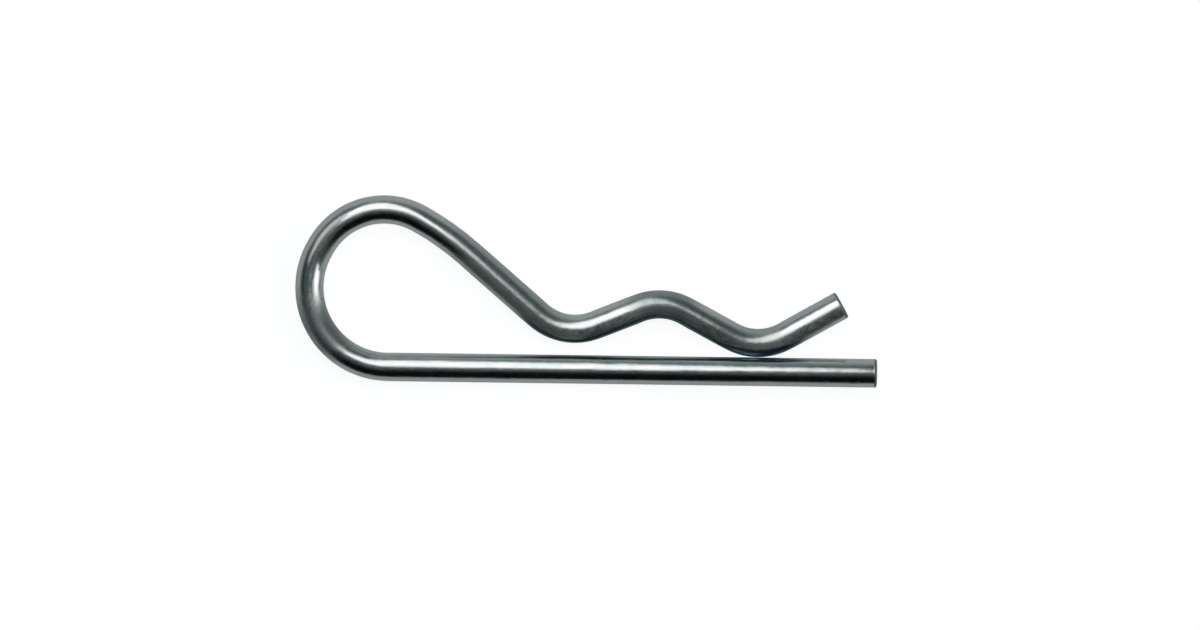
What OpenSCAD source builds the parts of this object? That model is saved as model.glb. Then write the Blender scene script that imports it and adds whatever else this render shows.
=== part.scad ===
// Spring clip for a hitch pin: one length of round wire, bent into a straight leg, a pull loop and a
// waved leg that closes on the straight one.
// It lies flat on its side. +X runs along the straight leg to its tip, +Y goes from the straight leg
// to the waved leg, and the origin is underneath, in the middle of the outline.
// Bend radii are measured at the centre of the wire, and slopes from the straight leg.

/* [Wire] */
// Diameter of the wire
wire_d = 3.2; // [2:0.1:5]
// How much thinner the wire is on its radius where bending has drawn it down
bend_draw = 0.01; // [0.005:0.005:0.03]
// Bevel round each cut end
end_bevel = 0.3; // [0.1:0.05:0.6]

/* [Pull loop] */
// Radius of the heel, which leaves the straight leg and goes round the back of the loop
heel_r = 8.87; // [7:0.01:12]
// Angle that the heel turns through
heel_sweep = 120; // [100:1:150]
// Radius of the crown, which goes over the top of the loop
crown_r = 8.07; // [6:0.01:10]
// Radius of the shoulder, where the loop eases into the slant
shoulder_r = 30.7; // [15:0.1:45]
// Angle that the shoulder turns through
shoulder_sweep = 11.9; // [6:0.1:20]

/* [Waved leg] */
// Slope of the slant, the long run down from the loop
slant_angle = 40.6; // [32:0.1:50]
// Slope of the run up to the arch
rise_angle = 21.9; // [16:0.1:30]
// Slope of the run down from the arch
fall_angle = 28; // [20:0.1:40]
// Slope of the tail, which is turned up so that the clip rides onto the shaft
tail_angle = 29.6; // [15:0.1:45]
// Radius of the bends at the throat, the arch and the grip
wave_r = 6.2; // [4:0.1:9]
// Gap between the legs at the throat, before the arch
throat_gap = 1.34; // [0.2:0.01:2.2]
// Gap between the legs under the arch, which holds half of the shaft
arch_gap = 4.2; // [3.4:0.05:7]
// Gap between the legs at the grip, where the real wire just touches
grip_gap = 0.02; // [0.02:0.01:1.2]
// Straight run of the tail, to its cut end
tail_run = 7.3; // [3:0.1:14]

/* [Straight leg] */
// Length of the straight leg past the grip, to its tip
tip_run = 13.4; // [6:0.1:30]

/* [Hidden] */
$fn = 64;

// Colour of the bright plating
zinc_plate = [0.66, 0.7, 0.72];

wire_r = wire_d / 2;
bend_wire_r = wire_r - bend_draw;

// How far a bend laps into the straight wire at each of its ends
bend_lap = 0.1;

// Short straight between the bends of the loop
set_run = 0.3;

// Heights of the waved leg's centre over the straight leg's centre
throat_h = wire_r + bend_wire_r + throat_gap;
arch_h = wire_r + bend_wire_r + arch_gap;
grip_h = wire_r + bend_wire_r + grip_gap;

// The crown turns through what the heel and the shoulder leave of the way to the slant
loop_turn = 180 + slant_angle;
crown_sweep = loop_turn - shoulder_sweep - heel_sweep;
heel_and_crown = heel_sweep + crown_sweep;

// Steps between the centres of the loop's bends
crown_step = heel_r - crown_r;
shoulder_step = crown_r - shoulder_r;

// Centre of the crown, top of the loop's centreline, and end of its shoulder, all from the point where
// the heel begins
crown_h = heel_r - crown_step * cos(heel_sweep) + set_run * sin(heel_sweep);
crown_x = -crown_step * sin(heel_sweep) - set_run * cos(heel_sweep);
loop_top = crown_h + crown_r;
shoulder_h = crown_h - shoulder_step * cos(heel_and_crown) + set_run * sin(heel_and_crown)
    - shoulder_r * cos(loop_turn);
shoulder_x = crown_x - shoulder_step * sin(heel_and_crown) - set_run * cos(heel_and_crown)
    - shoulder_r * sin(loop_turn);

// Straight runs that bring the waved leg to those heights between its bends
slant_run = (shoulder_h - throat_h - bend_rise(slant_angle)) / sin(slant_angle);
rise_run = (arch_h - throat_h - 2 * bend_rise(rise_angle)) / sin(rise_angle);
fall_run = (arch_h - grip_h - 2 * bend_rise(fall_angle)) / sin(fall_angle);

// Lengths along the straight leg, from the point where the heel begins
throat_x = shoulder_x + slant_run * cos(slant_angle) + bend_reach(slant_angle);
arch_x = throat_x + rise_run * cos(rise_angle) + 2 * bend_reach(rise_angle);
grip_x = arch_x + fall_run * cos(fall_angle) + 2 * bend_reach(fall_angle);
leg_run = grip_x + tip_run;
tail_x = grip_x + tail_run * cos(tail_angle) + bend_reach(tail_angle) + wire_r * sin(tail_angle);

// Middle of the outline, from the point where the heel begins
outline_left = -heel_r - bend_wire_r;
outline_right = max(leg_run, tail_x);
middle = [(outline_left + outline_right) / 2, (loop_top - bend_draw) / 2];

// The bends in order from the tip: straight run up to the bend, its radius, and its turn to the left
bends = [
    [leg_run, heel_r, -heel_sweep],
    [set_run, crown_r, -crown_sweep],
    [set_run, shoulder_r, -shoulder_sweep],
    [slant_run, wave_r, slant_angle + rise_angle],
    [rise_run, wave_r, -rise_angle - fall_angle],
    [fall_run, wave_r, fall_angle + tail_angle],
];

// How far a wave bend rises, and reaches along the leg, between its level point and a slope
function bend_rise(slope) = wave_r * (1 - cos(slope));
function bend_reach(slope) = wave_r * sin(slope);

// Straight wire, ahead along +X
module straight(run) {
    rotate([0, 90, 0])
        cylinder(h = run, r = wire_r);
}

// Straight wire, ahead along +X from a bevelled cut
module cut_straight(run) {
    rotate([0, 90, 0])
        rotate_extrude()
            polygon([
                [0, 0],
                [wire_r - end_bevel, 0],
                [wire_r, end_bevel],
                [wire_r, run],
                [0, run],
            ]);
}

// A bend that sets off along +X and curves to the left, or to the right where the turn is negative
module bend(r, turn) {
    lap = bend_lap / r * 180 / PI;
    mirror([0, turn < 0 ? 1 : 0, 0])
        translate([0, r, 0])
            rotate_extrude(angle = abs(turn) + 2 * lap, start = -90 - lap)
                translate([r, 0])
                    circle(r = bend_wire_r);
}

// Carries what follows to the far end of a bend, where the wire sets off along +X again
module past_bend(r, turn) {
    centre = [0, sign(turn) * r, 0];
    translate(centre)
        rotate(turn)
            translate(-centre)
                children();
}

// The wire from one straight run to the tail
module wire_from(i) {
    run = bends[i][0];
    r = bends[i][1];
    turn = bends[i][2];
    if (i == 0)
        cut_straight(run);
    else
        straight(run);
    translate([run, 0, 0]) {
        bend(r, turn);
        past_bend(r, turn)
            if (i < len(bends) - 1)
                wire_from(i + 1);
            else
                tail();
    }
}

// The tail, with its cut at the far end
module tail() {
    translate([tail_run, 0, 0])
        rotate(180)
            cut_straight(tail_run);
}

// The whole clip, which sets off from the tip of the straight leg towards the loop
module clip_wire() {
    color(zinc_plate)
        translate([leg_run - middle.x, -middle.y, wire_r])
            rotate(180)
                wire_from(0);
}

clip_wire();
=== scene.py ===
"""A spring wire clip for a hitch pin, bright zinc plated, lying flat on its side on a white table."""
import logging
import math
from dataclasses import dataclass, field, replace
from enum import Enum
from typing import Any

import bpy
import numpy as np
from mathutils import Matrix, Vector


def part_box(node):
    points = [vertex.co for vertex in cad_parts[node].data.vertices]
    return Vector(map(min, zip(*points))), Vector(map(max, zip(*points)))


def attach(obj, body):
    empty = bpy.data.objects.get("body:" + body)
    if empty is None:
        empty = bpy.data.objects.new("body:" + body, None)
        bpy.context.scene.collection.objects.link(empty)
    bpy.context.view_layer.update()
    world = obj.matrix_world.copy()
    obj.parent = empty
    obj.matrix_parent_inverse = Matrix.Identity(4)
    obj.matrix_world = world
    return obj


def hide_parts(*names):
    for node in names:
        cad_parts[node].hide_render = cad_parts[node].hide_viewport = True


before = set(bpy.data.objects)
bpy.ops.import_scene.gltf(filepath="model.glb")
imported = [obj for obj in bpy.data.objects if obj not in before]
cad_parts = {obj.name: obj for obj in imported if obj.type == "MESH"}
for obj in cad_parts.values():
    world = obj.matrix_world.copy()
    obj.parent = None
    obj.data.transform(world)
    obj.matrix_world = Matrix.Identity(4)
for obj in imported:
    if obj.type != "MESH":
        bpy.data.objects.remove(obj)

LOG = logging.getLogger("clip")
MM = 0.001
HALF_TURN = 180.0
ACROSS = Vector((0.0, 1.0, 0.0))
UP = Vector((0.0, 0.0, 1.0))
WIRE_NODE = "clip_wire"

# Attributes of the wire: where a point lay on the straight wire, and which way the wire runs there
FLOW = "flow"
LAY = "lay"

# Results of an ease that falls instead of rising, and the middle of a pattern's values
FALLING = (1.0, 0.0)
PATTERN_MEAN = 0.5

Colour = tuple[float, float, float, float]
Span = tuple[float, float]
Socket = bpy.types.NodeSocket


class Form(Enum):
    """What a stretch of the wire does."""

    STRAIGHT = "straight"
    BEND = "bend"


class CutEnd(Enum):
    """The two ends of the wire."""

    TIP = "tip of the straight leg"
    TAIL = "end of the tail"


class Place(Enum):
    """Places that are darkened, partly by wear on the bending pin, the shaft or the other leg and partly as
    painted shade that dims their highlights.

    Each goes by the number of its stretch of the wire.
    """

    HEEL = 1
    SLANT = 6
    ARCH = 9
    GRIP = 11


@dataclass(frozen=True)
class Stretch:
    """One straight run or one bend of the wire's centreline, in millimetres and radians.

    It is seen from above. A point is a complex number: its real part runs along the straight leg and its
    imaginary part across.
    """

    form: Form
    start: complex
    heading: float
    length: float
    radius: float = 0.0
    turn: float = 0.0

    @property
    def ahead(self) -> complex:
        """Direction in which the stretch sets off."""
        return complex(math.cos(self.heading), math.sin(self.heading))

    @property
    def centre(self) -> complex:
        """Centre that a bend turns about."""
        return self.start + self.ahead * complex(0.0, math.copysign(self.radius, self.turn))

    @property
    def end(self) -> complex:
        """Finds where the stretch ends.

        Returns:
            The point.
        """
        if self.form is Form.STRAIGHT:
            return self.start + self.ahead * self.length
        spin = complex(math.cos(self.turn), math.sin(self.turn))
        return self.centre + (self.start - self.centre) * spin

    def unbend(self, points: np.ndarray) -> tuple[np.ndarray, np.ndarray]:
        """Measures points against this stretch.

        Args:
            points: Complex points in the plane of the clip.

        Returns:
            How far along the stretch each point lies, and how far to the left of its centreline.
        """
        if self.form is Form.STRAIGHT:
            local = (points - self.start) / self.ahead
            return local.real, local.imag
        side = math.copysign(1.0, self.turn)
        spokes = (points - self.centre) / (self.start - self.centre)
        return np.angle(spokes) * side * self.radius, side * self.radius * (1.0 - np.abs(spokes))


@dataclass(frozen=True)
class ClipSizes:
    """Driving sizes of the clip's centreline, in millimetres and degrees.

    Slopes are measured from the straight leg, and heights from the middle of the straight leg.
    """

    heel_r: float = 8.87
    heel_sweep: float = 120.0
    crown_r: float = 8.07
    shoulder_r: float = 30.7
    shoulder_sweep: float = 11.9
    set_run: float = 0.3
    slant_slope: float = 40.6
    rise_slope: float = 21.9
    fall_slope: float = 28.0
    tail_slope: float = 29.6
    wave_r: float = 6.2
    throat_h: float = 4.53
    arch_h: float = 7.39
    grip_h: float = 3.21
    tail_run: float = 7.3
    tip_run: float = 13.4
    end_bevel: float = 0.3

    def bend_rise(self, slope: float) -> float:
        """Height that a wave bend gains between its level point and a slope."""
        return self.wave_r * (1.0 - math.cos(math.radians(slope)))

    def run_between(self, high: float, low: float, slope: float, bends: int) -> float:
        """Works out a straight run between two levels of the waved leg.

        Args:
            high: Height at the upper level point.
            low: Height at the lower level point.
            slope: Slope of the run.
            bends: How many wave bends take a share of the height.

        Returns:
            Length of the straight run.
        """
        return (high - low - bends * self.bend_rise(slope)) / math.sin(math.radians(slope))


class WireRoute:
    """The centreline of the clip, from the tip of the straight leg to the end of the tail."""

    def __init__(self, sizes: ClipSizes, tip: Vector) -> None:
        """Lays out the route.

        Args:
            sizes: Driving sizes of the clip.
            tip: Middle of the straight leg's end, in metres.
        """
        self.sizes = sizes
        self.height = tip.z
        self.stretches: list[Stretch] = []
        self.waved_from = 0.0
        self.wave = (0.0, 0.0)
        self.lay_out(complex(tip.x, tip.y) / MM)

    @property
    def length(self) -> float:
        """Length of the whole wire in millimetres."""
        return sum(stretch.length for stretch in self.stretches)

    def straight(self, run: float) -> None:
        """Adds a straight run of this length."""
        last = self.stretches[-1]
        self.stretches.append(Stretch(Form.STRAIGHT, last.end, last.heading + last.turn, run))

    def bend(self, radius: float, turn: float) -> None:
        """Adds a bend.

        Args:
            radius: Radius at the middle of the wire.
            turn: Turn to the left, in degrees.
        """
        last = self.stretches[-1]
        angle = math.radians(turn)
        heading = last.heading + last.turn
        self.stretches.append(Stretch(Form.BEND, last.end, heading, radius * abs(angle), radius, angle))

    def lay_out(self, tip: complex) -> None:
        """Lays out every stretch from the heel on, then brings the straight leg to its tip.

        Args:
            tip: Middle of the straight leg's end, in millimetres.
        """
        s = self.sizes
        self.stretches = [Stretch(Form.STRAIGHT, 0j, math.pi, 0.0)]
        self.bend(s.heel_r, -s.heel_sweep)
        self.straight(s.set_run)
        self.bend(s.crown_r, s.heel_sweep + s.shoulder_sweep - HALF_TURN - s.slant_slope)
        self.straight(s.set_run)
        self.bend(s.shoulder_r, -s.shoulder_sweep)
        loop = len(self.stretches)
        self.straight(s.run_between(self.stretches[-1].end.imag, s.throat_h, s.slant_slope, bends=1))
        self.bend(s.wave_r, s.slant_slope + s.rise_slope)
        self.straight(s.run_between(s.arch_h, s.throat_h, s.rise_slope, bends=2))
        self.bend(s.wave_r, -s.rise_slope - s.fall_slope)
        self.straight(s.run_between(s.arch_h, s.grip_h, s.fall_slope, bends=2))
        grip_x = self.stretches[-1].end.real + s.wave_r * math.sin(math.radians(s.fall_slope))
        self.bend(s.wave_r, s.fall_slope + s.tail_slope)
        self.straight(s.tail_run)
        leg_run = grip_x + s.tip_run
        heel = tip - leg_run
        moved = [replace(stretch, start=stretch.start + heel) for stretch in self.stretches]
        moved[0] = Stretch(Form.STRAIGHT, tip, math.pi, leg_run)
        self.stretches = moved
        self.waved_from = sum(stretch.length for stretch in moved[:loop])
        self.wave = (self.waved_from + moved[loop].length, self.length - s.tail_run)

    def along(self, place: Place) -> float:
        """Gives the distance along the wire to the middle of a place."""
        before = sum(stretch.length for stretch in self.stretches[: place.value])
        return before + self.stretches[place.value].length / 2.0

    def point(self, flat: complex) -> Vector:
        """Gives the place in space, in metres, of a point of the centreline."""
        return Vector((flat.real * MM, flat.imag * MM, self.height))

    def unbend(self, places: np.ndarray) -> tuple[np.ndarray, np.ndarray]:
        """Measures places on the wire as if it were still straight.

        Args:
            places: One row of x, y and z in metres for each place.

        Returns:
            For each place, a row of metres along the wire and left and up from its middle, and a row with
            the direction of the wire there.
        """
        flat = (places[:, 0] + 1j * places[:, 1]) / MM
        best = np.full(len(places), np.inf)
        along = np.zeros(len(places))
        left = np.zeros(len(places))
        heading = np.zeros(len(places))
        before = 0.0
        for number, stretch in enumerate(self.stretches):
            run, side = stretch.unbend(flat)
            low = -np.inf if number == 0 else 0.0
            high = np.inf if number == len(self.stretches) - 1 else stretch.length
            beyond = run - np.clip(run, low, high)
            gap = np.hypot(beyond, side)
            nearer = gap < best
            best[nearer] = gap[nearer]
            along[nearer] = before + run[nearer]
            left[nearer] = side[nearer]
            heading[nearer] = stretch.heading + stretch.turn * run[nearer] / stretch.length
            before += stretch.length
        flow = np.column_stack((along * MM, left * MM, places[:, 2] - self.height))
        return flow, np.column_stack((np.cos(heading), np.sin(heading), np.zeros(len(places))))


class NodeSheet:
    """A shader node tree that is filled from code."""

    def __init__(self, tree: bpy.types.NodeTree) -> None:
        """Empties a node tree, ready for new nodes."""
        self.tree = tree
        tree.nodes.clear()

    def add(self, kind: str, label: str = "", **settings: Any) -> bpy.types.Node:
        """Adds a node.

        Args:
            kind: Blender's name for the type of node.
            label: What the node does here.
            settings: Properties of the node.

        Returns:
            The new node.
        """
        node = self.tree.nodes.new(kind)
        node.label = label
        for name, value in settings.items():
            setattr(node, name, value)
        return node

    def feed(self, node: bpy.types.Node, **inputs: Any) -> bpy.types.Node:
        """Sets or links inputs of a node.

        Args:
            node: The node that is fed.
            inputs: A socket to link or a value to set for each input, by its name with _ for a space.

        Returns:
            The same node.
        """
        for name, value in inputs.items():
            self.put(node.inputs[name.replace("_", " ")], value)
        return node

    def put(self, socket: Socket, value: Any) -> None:
        """Links or sets one input.

        Args:
            socket: The input.
            value: A socket to link to it, or a plain value to set it to.
        """
        if isinstance(value, Socket):
            self.tree.links.new(value, socket)
        else:
            socket.default_value = value

    def math(self, operation: str, first: Any, second: Any = 0.0, label: str = "") -> Socket:
        """Adds a sum.

        Args:
            operation: Blender's name for the operation.
            first: First socket or number.
            second: Second socket or number.
            label: What the sum stands for.

        Returns:
            The socket that holds the result.
        """
        node = self.add("ShaderNodeMath", label, operation=operation)
        self.put(node.inputs[0], first)
        self.put(node.inputs[1], second)
        return node.outputs["Value"]

    def ease(self, value: Socket, low: float, high: float, label: str, to: Span = (0.0, 1.0)) -> Socket:
        """Carries a value smoothly from one range to another.

        Args:
            value: Socket that holds the value.
            low: Value at which the change starts.
            high: Value at which it ends.
            label: What the result stands for.
            to: Results below and above the change.

        Returns:
            The socket that holds the result.
        """
        node = self.add("ShaderNodeMapRange", label, interpolation_type="SMOOTHSTEP")
        self.feed(node, Value=value, From_Min=low, From_Max=high, To_Min=to[0], To_Max=to[1])
        return node.outputs["Result"]

    def blend(self, share: Socket, first: Any, second: Any, label: str) -> Socket:
        """Mixes two colours.

        Args:
            share: Share of the second colour.
            first: First colour.
            second: Second colour.
            label: What the mix stands for.

        Returns:
            The socket that holds the mixed colour.
        """
        node = self.add("ShaderNodeMix", label, data_type="RGBA")
        self.put(node.inputs["Factor"], share)
        self.put(node.inputs["A"], first)
        self.put(node.inputs["B"], second)
        return node.outputs["Result"]


@dataclass(frozen=True)
class Grain:
    """A fine pattern in the surface, by the size of its marks in millimetres."""

    name: str
    along: float
    across: float
    detail: float = 2.0
    rough: float = 0.5

    def add(self, sheet: NodeSheet, flow: Socket) -> Socket:
        """Adds the pattern to a material.

        Args:
            sheet: The material's nodes.
            flow: Place on the wire as if it were straight.

        Returns:
            The socket that holds the pattern, about 0.5 on average.
        """
        lay = sheet.add("ShaderNodeMapping", self.name + " lay")
        steps = (1.0 / (self.along * MM), 1.0 / (self.across * MM), 1.0 / (self.across * MM))
        sheet.feed(lay, Vector=flow, Scale=steps)
        noise = sheet.add("ShaderNodeTexNoise", self.name)
        sheet.feed(noise, Vector=lay.outputs["Vector"], Scale=1.0)
        sheet.feed(noise, Detail=self.detail, Roughness=self.rough)
        return noise.outputs["Fac"]


@dataclass(frozen=True)
class WearAndShade:
    """A worn place, where a share of the zinc is dulled and the roughness rises.

    It is fully darkened as far as its core, and not at all beyond its edge, in millimetres along the wire.
    """

    place: Place
    core: float
    edge: float
    shade: float
    rough: float


@dataclass(frozen=True)
class Masks:
    """Sockets that say where the finish changes, with its painted shade and painted reflection: masks, and
    for scuff the roughness that is added.
    """

    dull_side: Socket
    worn: Socket
    scuff: Socket
    edge_painted_shade: Socket
    painted_contact_reflection: Socket
    cut: Socket


@dataclass(frozen=True)
class ZincPlate:
    """Bright zinc on drawn spring wire, rougher, greener and more mottled where the waved leg faces the
    straight leg.

    Edges are measured to the left of the wire's middle, and leads, reaches and depths along and out of the
    wire, all in millimetres. Ranges are values of a pattern between which a mark comes in.
    """

    cool: Colour = (0.65, 0.68, 0.69, 1.0)
    warm: Colour = (0.72, 0.715, 0.69, 1.0)
    dulled: Colour = (0.40, 0.44, 0.435, 1.0)
    cut: Colour = (0.32, 0.35, 0.36, 1.0)
    # Greener zinc on the side of the waved leg that faces the straight leg
    dull_side: Colour = (0.60, 0.66, 0.635, 1.0)
    # Darker zinc at the worn places: wear, and painted shade that dims their highlights
    worn: Colour = (0.36, 0.40, 0.395, 1.0)
    # Painted shade along the edge of the wave next to the straight leg
    painted_edge_shade: Colour = (0.06, 0.105, 0.125, 1.0)
    # Painted slate-blue reflection where the grip touches the straight leg
    painted_contact_reflection: Colour = (0.26, 0.46, 0.58, 1.0)
    drawn: float = 0.8
    drawn_turn: float = 0.25
    smooth_rough: float = 0.17
    dull_side_rough: float = 0.4
    cut_rough: float = 0.45
    rough_spread: float = 0.08
    dull_side_spread: float = 0.4
    worn_and_shaded_low: float = 0.55
    scuff_full: float = 0.2
    bright_shade: float = 0.14
    dull_side_shade: float = 0.7
    speck_shade: float = 0.55
    cloud_range: Span = (0.35, 0.65)
    speck_range: Span = (0.62, 0.74)
    crystal_range: Span = (0.35, 0.6)
    dull_side_lead: float = 4.0
    dull_side_top: Span = (0.1, -0.8)
    dull_side_foot: Span = (-1.0, -1.3)
    painted_edge_shade_lead: float = 3.0
    painted_edge_shade_span: Span = (-1.0, -1.25)
    painted_contact_reflection_span: Span = (-1.2, -1.45)
    grip_reach: Span = (1.2, 4.0)
    grip_rise: float = 0.32
    cut_share: Span = (0.7, 1.3)
    # Worn places, darkened partly by wear and partly as painted shade that dims their highlights
    wear_and_shade: tuple[WearAndShade, ...] = (
        WearAndShade(Place.HEEL, core=1.5, edge=5.5, shade=0.9, rough=0.18),
        WearAndShade(Place.SLANT, core=5.0, edge=11.0, shade=0.5, rough=0.07),
        WearAndShade(Place.ARCH, core=1.5, edge=5.0, shade=0.95, rough=0.07),
        WearAndShade(Place.GRIP, core=1.5, edge=5.0, shade=0.4, rough=0.07),
    )
    sway_depth: float = 0.028
    line_depth: float = 0.008
    mottle_depth: float = 0.005
    cut_depth: float = 0.02
    sway: Grain = Grain("slow sway of the drawn wire", along=2.6, across=1.3, detail=2.0)
    bloom: Grain = Grain("clouds in the plating", along=4.0, across=1.5, detail=3.0)
    lines: Grain = Grain("drawing lines", along=9.0, across=0.14, detail=3.0, rough=0.6)
    mottle: Grain = Grain("zinc crystals", along=0.6, across=0.4, detail=3.0, rough=0.55)
    specks: Grain = Grain("specks in the plating", along=0.5, across=0.3, detail=5.0, rough=0.7)
    shear: Grain = Grain("shear marks of the cut", along=0.4, across=0.12, detail=3.0)

    def material(self, route: WireRoute) -> bpy.types.Material:
        """Makes the finish.

        Args:
            route: Centreline of the wire.

        Returns:
            The new material.
        """
        made = bpy.data.materials.new("zinc_plated_wire_finish")
        made.use_nodes = True
        sheet = NodeSheet(made.node_tree)
        place = sheet.add("ShaderNodeAttribute", "place on the straight wire", attribute_name=FLOW)
        flow = place.outputs["Vector"]
        masks = self.masks(sheet, flow, route)
        mottle = self.mottle.add(sheet, flow)
        lay = sheet.add("ShaderNodeAttribute", "direction of the wire", attribute_name=LAY)
        shader = sheet.add("ShaderNodeBsdfPrincipled", "zinc plate")
        sheet.feed(shader, Metallic=1.0, Anisotropic=self.drawn, Anisotropic_Rotation=self.drawn_turn)
        sheet.feed(shader, Tangent=lay.outputs["Vector"])
        sheet.feed(shader, Base_Color=self.colour(sheet, flow, mottle, masks))
        sheet.feed(shader, Roughness=self.roughness(sheet, mottle, masks))
        sheet.feed(shader, Normal=self.relief(sheet, flow, mottle, masks.cut))
        output = sheet.add("ShaderNodeOutputMaterial")
        sheet.feed(output, Surface=shader.outputs["BSDF"])
        return made

    def masks(self, sheet: NodeSheet, flow: Socket, route: WireRoute) -> Masks:
        """Gives every mask of the finish.

        Args:
            sheet: The material's nodes.
            flow: Place on the wire as if it were straight.
            route: Centreline of the wire.

        Returns:
            The masks.
        """
        parts = sheet.feed(sheet.add("ShaderNodeSeparateXYZ", "along, left and up"), Vector=flow).outputs
        along, left = parts["X"], parts["Y"]
        # The worn places carry painted shade, the wave's edge carries painted shade and the grip a painted
        # slate-blue reflection
        worn, scuff = self.wear_and_shade_masks(sheet, along, route)
        round_grip = self.near(sheet, along, route, Place.GRIP, self.grip_reach)
        return Masks(
            dull_side=self.dull_side_mask(sheet, along, left, route),
            worn=worn,
            scuff=scuff,
            edge_painted_shade=self.painted_edge_shade_mask(sheet, along, left, route, round_grip),
            painted_contact_reflection=self.painted_contact_reflection_mask(sheet, left, round_grip),
            cut=self.cut_mask(sheet, along, route),
        )

    @staticmethod
    def near(sheet: NodeSheet, along: Socket, route: WireRoute, place: Place, reach: Span) -> Socket:
        """Gives the mask of the wire on both sides of a place.

        Args:
            sheet: The material's nodes.
            along: Distance along the wire.
            route: Centreline of the wire.
            place: The place.
            reach: Distances from its middle at which the mask starts to fall and ends.

        Returns:
            The socket that holds the mask.
        """
        past = sheet.math("SUBTRACT", along, route.along(place) * MM)
        apart = sheet.math("ABSOLUTE", past, label="distance from the " + place.name.lower())
        core, edge = (distance * MM for distance in reach)
        return sheet.ease(apart, core, edge, "near the " + place.name.lower(), to=FALLING)

    def dull_side_mask(self, sheet: NodeSheet, along: Socket, left: Socket, route: WireRoute) -> Socket:
        """Gives the mask of the dull side, rougher and greener, which lies to the right along the waved
        leg.

        Args:
            sheet: The material's nodes.
            along: Distance along the wire.
            left: Distance to the left of its middle.
            route: Centreline of the wire.

        Returns:
            The socket that holds the mask.
        """
        start = route.waved_from * MM
        lead = self.dull_side_lead * MM
        waved = sheet.ease(along, start - lead, start + lead, "waved leg")
        bright, dull = (edge * MM for edge in self.dull_side_top)
        side = sheet.ease(left, dull, bright, "side that faces the straight leg", to=FALLING)
        last, clear = (edge * MM for edge in self.dull_side_foot)
        foot = sheet.ease(left, clear, last, "bright again close to the straight leg")
        return sheet.math("MULTIPLY", waved, sheet.math("MULTIPLY", side, foot), "rubbed side")

    def wear_and_shade_masks(self, sheet: NodeSheet, along: Socket, route: WireRoute) -> tuple[Socket, Socket]:
        """Gives the masks of the worn places, which carry wear and painted shade that dims their
        highlights.

        Args:
            sheet: The material's nodes.
            along: Distance along the wire.
            route: Centreline of the wire.

        Returns:
            The sockets that hold the share of darkened zinc, which is wear and painted shade, and the added
            roughness.
        """
        worn = 0.0
        scuff = 0.0
        for wear_and_shade in self.wear_and_shade:
            near = self.near(sheet, along, route, wear_and_shade.place, (wear_and_shade.core, wear_and_shade.edge))
            worn = sheet.math("MAXIMUM", worn, sheet.math("MULTIPLY", near, wear_and_shade.shade), "dulled")
            scuff = sheet.math("MAXIMUM", scuff, sheet.math("MULTIPLY", near, wear_and_shade.rough), "scuffed")
        return worn, scuff

    def painted_edge_shade_mask(
        self, sheet: NodeSheet, along: Socket, left: Socket, route: WireRoute, round_grip: Socket
    ) -> Socket:
        """Gives the mask of the painted shade along the edge of the wave that is closest to the straight
        leg.

        Args:
            sheet: The material's nodes.
            along: Distance along the wire.
            left: Distance to the left of its middle.
            route: Centreline of the wire.
            round_grip: Mask of the wire round the grip, where the painted shade reaches higher.

        Returns:
            The socket that holds the mask.
        """
        lead = self.painted_edge_shade_lead * MM
        first, last = (place * MM for place in route.wave)
        starts = sheet.ease(along, first - lead, first, "from the throat")
        stops = sheet.ease(along, last, last + lead, "to the grip", to=FALLING)
        clean, dark = (edge * MM for edge in self.painted_edge_shade_span)
        rise = sheet.math("MULTIPLY", round_grip, self.grip_rise * MM)
        level = sheet.math("SUBTRACT", left, rise, "side, from the tarnish")
        edge = sheet.ease(level, dark, clean, "edge of the wave", to=FALLING)
        return sheet.math("MULTIPLY", edge, sheet.math("MULTIPLY", starts, stops), "painted_edge_shade")

    def painted_contact_reflection_mask(self, sheet: NodeSheet, left: Socket, round_grip: Socket) -> Socket:
        """Gives the mask of the painted slate-blue reflection where the grip touches the straight leg.

        Args:
            sheet: The material's nodes.
            left: Distance to the left of the wire's middle.
            round_grip: Mask of the wire round the grip.

        Returns:
            The socket that holds the mask.
        """
        clean, blue = (edge * MM for edge in self.painted_contact_reflection_span)
        side = sheet.ease(left, blue, clean, "edge of the mark", to=FALLING)
        return sheet.math("MULTIPLY", round_grip, side, "slate blue")

    def cut_mask(self, sheet: NodeSheet, along: Socket, route: WireRoute) -> Socket:
        """Gives the mask of the cut faces and of their bevels.

        Args:
            sheet: The material's nodes.
            along: Distance along the wire.
            route: Centreline of the wire.

        Returns:
            The socket that holds the mask.
        """
        rest = sheet.math("SUBTRACT", route.length * MM, along, "distance from the tail's end")
        nearest = sheet.math("MINIMUM", along, rest, "distance from the nearest end")
        inner, outer = (share * route.sizes.end_bevel * MM for share in self.cut_share)
        return sheet.ease(nearest, inner, outer, "cut face and its rim", to=FALLING)

    def colour(self, sheet: NodeSheet, flow: Socket, mottle: Socket, masks: Masks) -> Socket:
        """Gives the colour.

        Clouds of cool and warm zinc come first, then the dull side, crystals and specks, wear with painted
        shade, the painted shade along the wave's edge with a painted slate-blue reflection at the grip, and
        the cut faces.

        Args:
            sheet: The material's nodes.
            flow: Place on the wire as if it were straight.
            mottle: Pattern of the zinc crystals.
            masks: Masks of the finish.

        Returns:
            The socket that holds the colour.
        """
        clouds = sheet.ease(self.bloom.add(sheet, flow), *self.cloud_range, "warm clouds")
        bright = sheet.blend(clouds, self.cool, self.warm, "zinc clouds")
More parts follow.
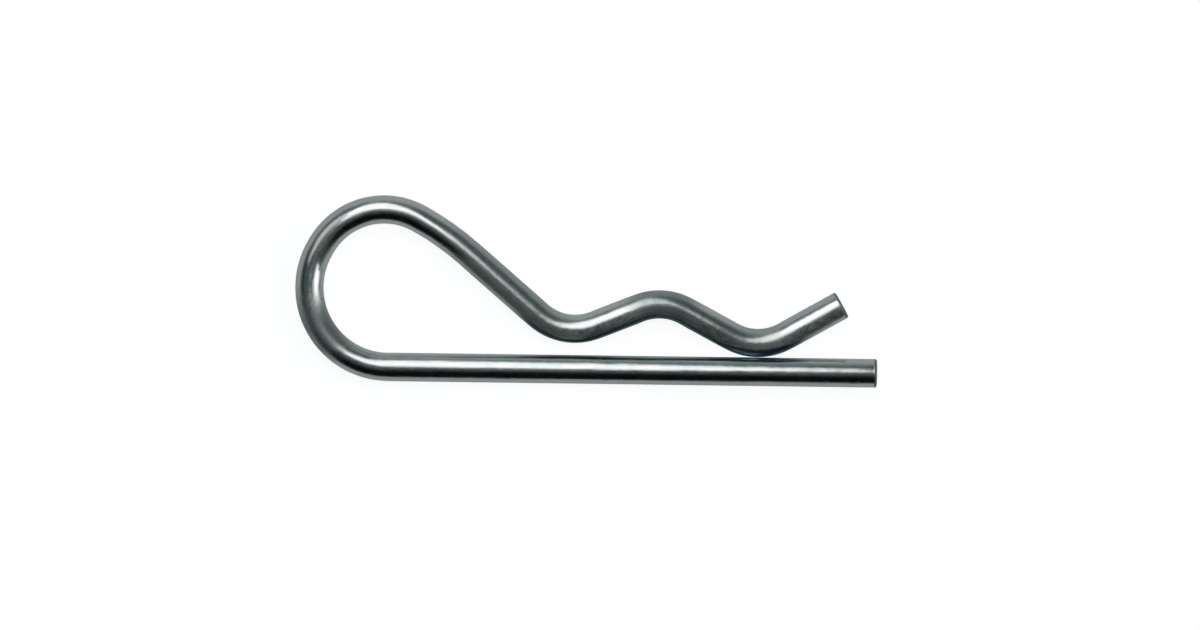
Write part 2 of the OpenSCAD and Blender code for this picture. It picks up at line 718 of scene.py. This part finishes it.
        # The side of the waved leg that faces the straight leg turns greener
        plated = sheet.blend(masks.dull_side, bright, self.dull_side, "bright and rubbed zinc")
        pattern = self.specks.add(sheet, flow)
        specks = sheet.ease(pattern, *self.speck_range, "dull specks", to=(0.0, self.speck_shade))
        uneven = sheet.math("MAXIMUM", masks.dull_side, masks.worn, "rubbed or worn")
        depth = sheet.ease(uneven, 0.0, 1.0, "depth of shade", to=(self.bright_shade, self.dull_side_shade))
        crystals = sheet.ease(mottle, *self.crystal_range, "crystals", to=FALLING)
        shade = sheet.math("MULTIPLY", crystals, depth, "shaded crystals")
        speckled = sheet.blend(sheet.math("MAXIMUM", specks, shade), plated, self.dulled, "specked zinc")
        # Worn places darken, most on the crystals: wear, and painted shade that dims their highlights
        mottled_share = sheet.ease(mottle, *self.crystal_range, "worn crystals", to=(self.worn_and_shaded_low, 1.0))
        dull = sheet.blend(sheet.math("MULTIPLY", masks.worn, mottled_share), speckled, self.worn, "worn zinc")
        # Painted shade along the wave's edge, turning to a painted slate-blue reflection at the grip
        painted_edge_shade = sheet.blend(masks.painted_contact_reflection, self.painted_edge_shade, self.painted_contact_reflection, "dark and slate blue tarnish")
        aged = sheet.blend(masks.edge_painted_shade, dull, painted_edge_shade, "tarnished zinc")
        return sheet.blend(masks.cut, aged, self.cut, "zinc and cut faces")

    def roughness(self, sheet: NodeSheet, mottle: Socket, masks: Masks) -> Socket:
        """Gives the roughness, which rises on the dull side that faces the straight leg, at worn places and
        on the cut faces.

        Args:
            sheet: The material's nodes.
            mottle: Pattern of the zinc crystals.
            masks: Masks of the finish.

        Returns:
            The socket that holds the roughness.
        """
        skin = sheet.ease(masks.dull_side, 0.0, 1.0, "skin", to=(self.smooth_rough, self.dull_side_rough))
        scuffed = sheet.math("DIVIDE", masks.scuff, self.scuff_full, "share of a full scuff")
        patchy = sheet.math("MAXIMUM", masks.dull_side, scuffed, "rubbed or scuffed")
        swing = sheet.ease(patchy, 0.0, 1.0, "swing", to=(self.rough_spread, self.dull_side_spread))
        spread = sheet.math("MULTIPLY", sheet.math("SUBTRACT", mottle, PATTERN_MEAN), swing, "crystals")
        uneven = sheet.math("ADD", skin, spread, "uneven skin")
        torn = sheet.math("MULTIPLY", masks.cut, self.cut_rough - self.smooth_rough, "torn metal")
        return sheet.math("ADD", uneven, sheet.math("ADD", torn, masks.scuff), "roughness")

    def relief(self, sheet: NodeSheet, flow: Socket, mottle: Socket, cut: Socket) -> Socket:
        """Gives the relief: slow sway, drawing lines, crystals, and shear marks on the cut faces.

        Args:
            sheet: The material's nodes.
            flow: Place on the wire as if it were straight.
            mottle: Pattern of the zinc crystals.
            cut: Mask of the cut faces.

        Returns:
            The socket that holds the normal.
        """
        torn = sheet.math("MULTIPLY", self.shear.add(sheet, flow), cut, "shear marks")
        layers = (
            ("sway", self.sway.add(sheet, flow), self.sway_depth),
            ("drawing lines", self.lines.add(sheet, flow), self.line_depth),
            ("crystals", mottle, self.mottle_depth),
            ("shear marks", torn, self.cut_depth),
        )
        normal = None
        for label, height, depth in layers:
            bump = sheet.add("ShaderNodeBump", label)
            sheet.feed(bump, Strength=1.0, Distance=depth * MM, Height=height)
            if normal is not None:
                sheet.feed(bump, Normal=normal)
            normal = bump.outputs["Normal"]
        return normal


@dataclass
class ClipWire:
    """The clip itself: one round wire with six bends and two cut ends.

    Lengths are in millimetres and angles in degrees. The wire is drawn down a little in its bends, so that
    it stays inside the solid's box.
    """

    sizes: ClipSizes = field(default_factory=ClipSizes)
    finish: ZincPlate = field(default_factory=ZincPlate)
    sides: int = 96
    run_step: float = 1.0
    bend_step: float = 4.0
    bend_least: int = 4
    bend_draw: float = 0.016
    bevel_steps: int = 5
    bevel_profile: float = 0.6
    collar: float = 0.1
    rim_width: float = 0.25
    dish_width: float = 0.45
    dish_depth: float = 0.07
    smooth_angle: float = 35.0
    merge_gap: float = 1e-4

    def __post_init__(self) -> None:
        """Takes the wire's thickness and place from the frame."""
        low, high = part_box(WIRE_NODE)
        self.wire_r = (high.z - low.z) / 2.0
        self.ring_r = self.wire_r
        self.tip = Vector((high.x, low.y + self.wire_r, low.z + self.wire_r))
        self.route = WireRoute(self.sizes, self.tip)

    def build(self) -> bpy.types.Object:
        """Models the wire, dresses it and sets it in the frame.

        Returns:
            The finished piece.
        """
        wire = self.start()
        for stretch in self.route.stretches:
            if stretch.form is Form.STRAIGHT:
                self.draw_out(stretch)
            else:
                self.turn(stretch)
        for end in CutEnd:
            self.finish_cut(wire, end)
        bpy.ops.mesh.select_all(action="SELECT")
        bpy.ops.mesh.remove_doubles(threshold=self.merge_gap * MM)
        bpy.ops.mesh.normals_make_consistent(inside=False)
        bpy.ops.object.mode_set(mode="OBJECT")
        bpy.ops.object.shade_smooth_by_angle(angle=math.radians(self.smooth_angle))
        self.mark_flow(wire)
        self.dress(wire)
        return wire

    def start(self) -> bpy.types.Object:
        """Adds the round end of the straight leg, faced along the wire, and opens it for editing.

        Returns:
            The new object, with its end face selected.
        """
        bpy.ops.object.select_all(action="DESELECT")
        bpy.ops.mesh.primitive_circle_add(
            vertices=self.sides,
            radius=self.wire_r,
            fill_type="NGON",
            location=self.tip,
            rotation=(0.0, -math.pi / 2.0, 0.0),
        )
        wire = bpy.context.object
        wire.name = "zinc_wire"
        wire.data.name = "zinc_wire"
        bpy.ops.object.transform_apply(location=True, rotation=True, scale=True)
        bpy.ops.object.mode_set(mode="EDIT")
        bpy.ops.mesh.select_mode(type="FACE")
        bpy.ops.mesh.select_all(action="SELECT")
        return wire

    def draw_out(self, stretch: Stretch) -> None:
        """Extrudes the selected end face along a straight run.

        A collar ring stands close to a cut, and the ring that a bend starts from is drawn down.

        Args:
            stretch: The straight run.
        """
        collar = self.sizes.end_bevel + self.collar
        first = [collar] if stretch is self.route.stretches[0] else []
        last = [collar] if stretch is self.route.stretches[-1] else []
        middle = stretch.length - sum(first) - sum(last)
        steps = max(1, round(middle / self.run_step))
        for run in first + [middle / steps] * steps + last:
            stride = stretch.ahead * run * MM
            ahead = (stride.real, stride.imag, 0.0)
            bpy.ops.mesh.extrude_region_move(TRANSFORM_OT_translate={"value": ahead})
            if self.ring_r < self.wire_r and steps > 1:
                self.set_ring(self.wire_r)
        if not last:
            self.set_ring(self.wire_r - self.bend_draw * MM)

    def set_ring(self, radius: float) -> None:
        """Brings the selected end face to a radius in metres."""
        bpy.ops.transform.resize(value=[radius / self.ring_r] * 3)
        self.ring_r = radius

    def turn(self, stretch: Stretch) -> None:
        """Spins the selected end face round a bend. The spin tool counts clockwise about its axis.

        Args:
            stretch: The bend.
        """
        bpy.ops.mesh.spin(
            steps=max(self.bend_least, round(math.degrees(abs(stretch.turn)) / self.bend_step)),
            angle=-stretch.turn,
            center=self.route.point(stretch.centre),
            axis=UP,
        )

    def end_place(self, end: CutEnd) -> tuple[Vector, Vector]:
        """Gives the middle of a cut face, and the direction out of it.

        Args:
            end: Which end of the wire.

        Returns:
            The point and the direction.
        """
        if end is CutEnd.TIP:
            first = self.route.stretches[0]
            return self.tip, Vector((-first.ahead.real, -first.ahead.imag, 0.0))
        last = self.route.stretches[-1]
        return self.route.point(last.end), Vector((last.ahead.real, last.ahead.imag, 0.0))

    def finish_cut(self, wire: bpy.types.Object, end: CutEnd) -> None:
        """Rounds the rim of a cut face and dishes its middle, as a shear leaves it.

        Args:
            wire: The wire, in edit mode.
            end: Which end of the wire.
        """
        middle, outward = self.end_place(end)
        self.select_face(wire, middle)
        bpy.ops.mesh.region_to_loop()
        bpy.ops.mesh.bevel(
            offset=self.sizes.end_bevel * MM,
            segments=self.bevel_steps,
            profile=self.bevel_profile,
            affect="EDGES",
        )
        self.select_face(wire, middle)
        bpy.ops.mesh.inset(thickness=self.rim_width * MM)
        bpy.ops.mesh.inset(thickness=self.dish_width * MM)
        bpy.ops.transform.translate(value=-outward * self.dish_depth * MM)
        bpy.ops.mesh.poke()

    @staticmethod
    def select_face(wire: bpy.types.Object, middle: Vector) -> None:
        """Selects only the flat face of a cut.

        Args:
            wire: The wire, in edit mode.
            middle: Middle of the cut.
        """
        bpy.ops.mesh.select_mode(type="FACE")
        bpy.ops.mesh.select_all(action="DESELECT")
        bpy.ops.object.mode_set(mode="OBJECT")
        nearest = min(wire.data.polygons, key=lambda face: (face.center - middle).length)
        nearest.select = True
        bpy.ops.object.mode_set(mode="EDIT")

    def mark_flow(self, wire: bpy.types.Object) -> None:
        """Stores on each point where it lay when the wire was straight, and which way the wire runs now.

        Args:
            wire: The wire, in object mode.
        """
        mesh = wire.data
        places = np.empty(len(mesh.vertices) * 3)
        mesh.vertices.foreach_get("co", places)
        for name, rows in zip((FLOW, LAY), self.route.unbend(places.reshape(-1, 3))):
            layer = mesh.attributes.new(name, "FLOAT_VECTOR", "POINT")
            layer.data.foreach_set("vector", rows.ravel())

    def dress(self, wire: bpy.types.Object) -> None:
        """Gives the wire its finish and its place in the frame.

        Args:
            wire: The wire, in object mode.
        """
        wire.data.materials.clear()
        wire.data.materials.append(self.finish.material(self.route))
        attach(wire, "root")
        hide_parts(WIRE_NODE)


class LampFace(Enum):
    """Shape of a lamp's face, with the share of its width and height that it fills."""

    BOX = ("RECTANGLE", 1.0)
    OVAL = ("ELLIPSE", math.pi / 4.0)


@dataclass(frozen=True)
class SoftLamp:
    """A soft lamp that looks at the clip, with its angles in degrees.

    It leans from straight overhead towards +X and +Y, hangs at a distance in metres, spreads by half angles
    along the table's length and across it, and is turned about its own axis.
    """

    name: str
    lean_x: float
    lean_y: float
    spread_x: float
    spread_y: float
    brightness: float
    turn: float = 0.0
    face: LampFace = LampFace.BOX
    distance: float = 1.0

    def build(self, target: Vector) -> None:
        """Hangs the lamp.

        Args:
            target: Point that it looks at.
        """
        slopes = [math.tan(math.radians(lean)) for lean in (self.lean_x, self.lean_y)]
        towards = Vector((*slopes, 1.0)).normalized()
        along = Matrix.Rotation(math.radians(self.turn), 3, towards) @ ACROSS.cross(towards).normalized()
        facing = Matrix((along, towards.cross(along), towards)).transposed()
        bpy.ops.object.light_add(
            type="AREA",
            location=target + towards * self.distance,
            rotation=facing.to_euler(),
        )
        lamp = bpy.context.object
        lamp.name = self.name
        lamp.data.shape, filled = self.face.value
        lamp.data.size = 2.0 * self.distance * math.tan(math.radians(self.spread_x))
        lamp.data.size_y = 2.0 * self.distance * math.tan(math.radians(self.spread_y))
        lamp.data.energy = self.brightness * math.pi * lamp.data.size * lamp.data.size_y * filled


@dataclass(frozen=True)
class Studio:
    """A white table in a dim room, with lamps behind the clip, over it, at its left and at its right.

    An edge of the room is a pair of values of a direction's X, Y or Z, between which the walls change.
    """

    key: SoftLamp = SoftLamp(
        "key_oval", -7.0, 28.0, 13.0, 27.5, brightness=1.35, turn=17.0, face=LampFace.OVAL, distance=0.3
    )
    glow: SoftLamp = SoftLamp("key_glow", 9.0, 14.0, 12.0, 12.0, brightness=0.12, face=LampFace.OVAL)
    halo: SoftLamp = SoftLamp(
        "key_halo", -31.5, 28.0, 17.0, 15.0, brightness=0.6, turn=15.0, face=LampFace.OVAL
    )
    side: SoftLamp = SoftLamp("side_box", 55.0, 2.0, 21.0, 13.0, brightness=1.6)
    table_size: float = 6.0
    table_colour: Colour = (0.82, 0.87, 0.89, 1.0)
    camera_lift: float = 0.7
    mirror_lift: float = 0.09
    paper_white: float = 1.32
    room_front: Colour = (0.001, 0.0012, 0.0014, 1.0)
    room_middle: Colour = (0.068, 0.09, 0.088, 1.0)
    room_back: Colour = (0.2, 0.265, 0.28, 1.0)
    room_low: Colour = (0.33, 0.38, 0.39, 1.0)
    front_edge: Span = (-0.6, -0.2)
    left_edge: Span = (-0.9, -0.55)
    left_share: float = 0.25
    back_edge: Span = (0.72, 1.0)
    low_edge: Span = (0.05, 0.42)
    low_front: Span = (-0.75, -0.25)

    def build(self, target: Vector) -> None:
        """Sets out the table, the room and the lamps.

        Args:
            target: Point that the lamps look at.
        """
        self.table()
        self.room()
        for lamp in (self.key, self.glow, self.halo, self.side):
            lamp.build(target)

    def table(self) -> None:
        """Lays the table top under the clip."""
        bpy.ops.object.select_all(action="DESELECT")
        bpy.ops.mesh.primitive_plane_add(size=self.table_size, location=(0.0, 0.0, 0.0))
        top = bpy.context.object
        top.name = "table_top"
        top.data.materials.append(self.table_finish())

    def table_finish(self) -> bpy.types.Material:
        """Makes the matt white of the table, lifted for the eye and for the metal that mirrors it.

        Returns:
            The new material.
        """
        made = bpy.data.materials.new("white_table")
        made.use_nodes = True
        sheet = NodeSheet(made.node_tree)
        rays = sheet.add("ShaderNodeLightPath").outputs
        mirrored = sheet.math("MAXIMUM", rays["Is Glossy Ray"], rays["Is Transmission Ray"])
        seen = sheet.math("MULTIPLY", rays["Is Camera Ray"], self.camera_lift)
        shown = sheet.math("MULTIPLY", mirrored, self.mirror_lift)
        lift = sheet.math("ADD", seen, shown, "lift to white")
        matt = sheet.feed(sheet.add("ShaderNodeBsdfDiffuse", "matt white"), Color=self.table_colour)
        glow = sheet.feed(sheet.add("ShaderNodeEmission", "paper white"), Strength=self.paper_white)
        blend = sheet.feed(sheet.add("ShaderNodeMixShader", "lifted table"), Fac=lift)
        sheet.put(blend.inputs[1], matt.outputs["BSDF"])
        sheet.put(blend.inputs[2], glow.outputs["Emission"])
        sheet.feed(sheet.add("ShaderNodeOutputMaterial"), Surface=blend.outputs["Shader"])
        return made

    def room(self) -> None:
        """Sets the dim room round the table: dark in front and at the left, pale behind and low down."""
        world = bpy.data.worlds.new("studio_room")
        bpy.context.scene.world = world
        world.use_nodes = True
        sheet = NodeSheet(world.node_tree)
        place = sheet.add("ShaderNodeTexCoord").outputs["Generated"]
        sides = sheet.feed(sheet.add("ShaderNodeSeparateXYZ"), Vector=place).outputs
        front = sheet.ease(sides["Y"], *self.front_edge, "past the dark front")
        left = sheet.ease(sides["X"], *self.left_edge, "past the dark left", to=(self.left_share, 1.0))
        back = sheet.ease(sides["Y"], *self.back_edge, "towards the pale back")
        lit = sheet.math("MULTIPLY", front, left)
        near = sheet.blend(lit, self.room_front, self.room_middle, "front to middle")
        far = sheet.blend(back, near, self.room_back, "middle to back")
        low = sheet.ease(sides["Z"], *self.low_edge, "down to the horizon", to=FALLING)
        pale = sheet.math("MULTIPLY", low, sheet.ease(sides["Y"], *self.low_front, "not in front"))
        walls = sheet.blend(pale, far, self.room_low, "pale horizon")
        glow = sheet.feed(sheet.add("ShaderNodeBackground", "walls"), Color=walls, Strength=1.0)
        sheet.feed(sheet.add("ShaderNodeOutputWorld"), Surface=glow.outputs["Background"])


@dataclass(frozen=True)
class TopCamera:
    """A camera that looks straight down. The frame and its aim are in millimetres, the roll in degrees."""

    frame_width: float = 134.17
    aim: Span = (1.54, -2.68)
    roll: float = 0.76
    lens: float = 250.0
    sensor: float = 36.0
    nearest: float = 0.01

    def build(self, level: float) -> bpy.types.Object:
        """Hangs the camera over the clip.

        Args:
            level: Height of the wire's middle in metres.

        Returns:
            The camera.
        """
        away = self.frame_width * MM * self.lens / self.sensor
        bpy.ops.object.camera_add(
            location=(self.aim[0] * MM, self.aim[1] * MM, level + away),
            rotation=(0.0, 0.0, math.radians(self.roll)),
        )
        camera = bpy.context.object
        camera.name = "top_camera"
        camera.data.lens = self.lens
        camera.data.sensor_width = self.sensor
        camera.data.clip_start = self.nearest
        bpy.context.scene.camera = camera
        return camera


def main() -> None:
    """Builds the clip and its studio."""
    logging.basicConfig(level=logging.INFO, format="%(name)s: %(message)s")
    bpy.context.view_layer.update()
    bpy.context.scene.view_settings.view_transform = "Standard"
    clip = ClipWire()
    wire = clip.build()
    LOG.info("%s: %d faces, %.1f mm of wire", wire.name, len(wire.data.polygons), clip.route.length)
    Studio().build(Vector((0.0, 0.0, clip.wire_r)))
    LOG.info("studio: table, room and lamps")
    camera = TopCamera().build(clip.tip.z)
    LOG.info("%s: %.3f m above the table", camera.name, camera.location.z)


if __name__ == "__main__":
    main()
